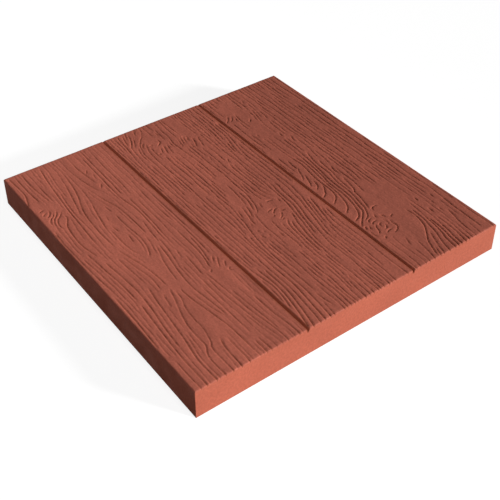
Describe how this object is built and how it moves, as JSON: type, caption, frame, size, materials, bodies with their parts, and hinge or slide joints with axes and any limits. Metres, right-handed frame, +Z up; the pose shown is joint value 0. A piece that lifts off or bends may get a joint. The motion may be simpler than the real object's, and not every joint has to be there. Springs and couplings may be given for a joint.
{
  "type": "paving slab",
  "caption": "Square cast concrete paving slab with a timber-effect face: boards divided by V joints, with grain grooves and knots, and plain straight sides.",
  "frame": {"origin": "middle of the flat bed that lies on the ground", "axes": "+Z up through the grained face, +Y along the boards, +X across them"},
  "size_m": [0.45, 0.45, 0.04],
  "materials": {
    "terracotta_concrete": "matte, fine cast texture"
  },
  "bodies": {
    "root": {"paving_slab": "terracotta_concrete"}
  },
  "joints": []
}
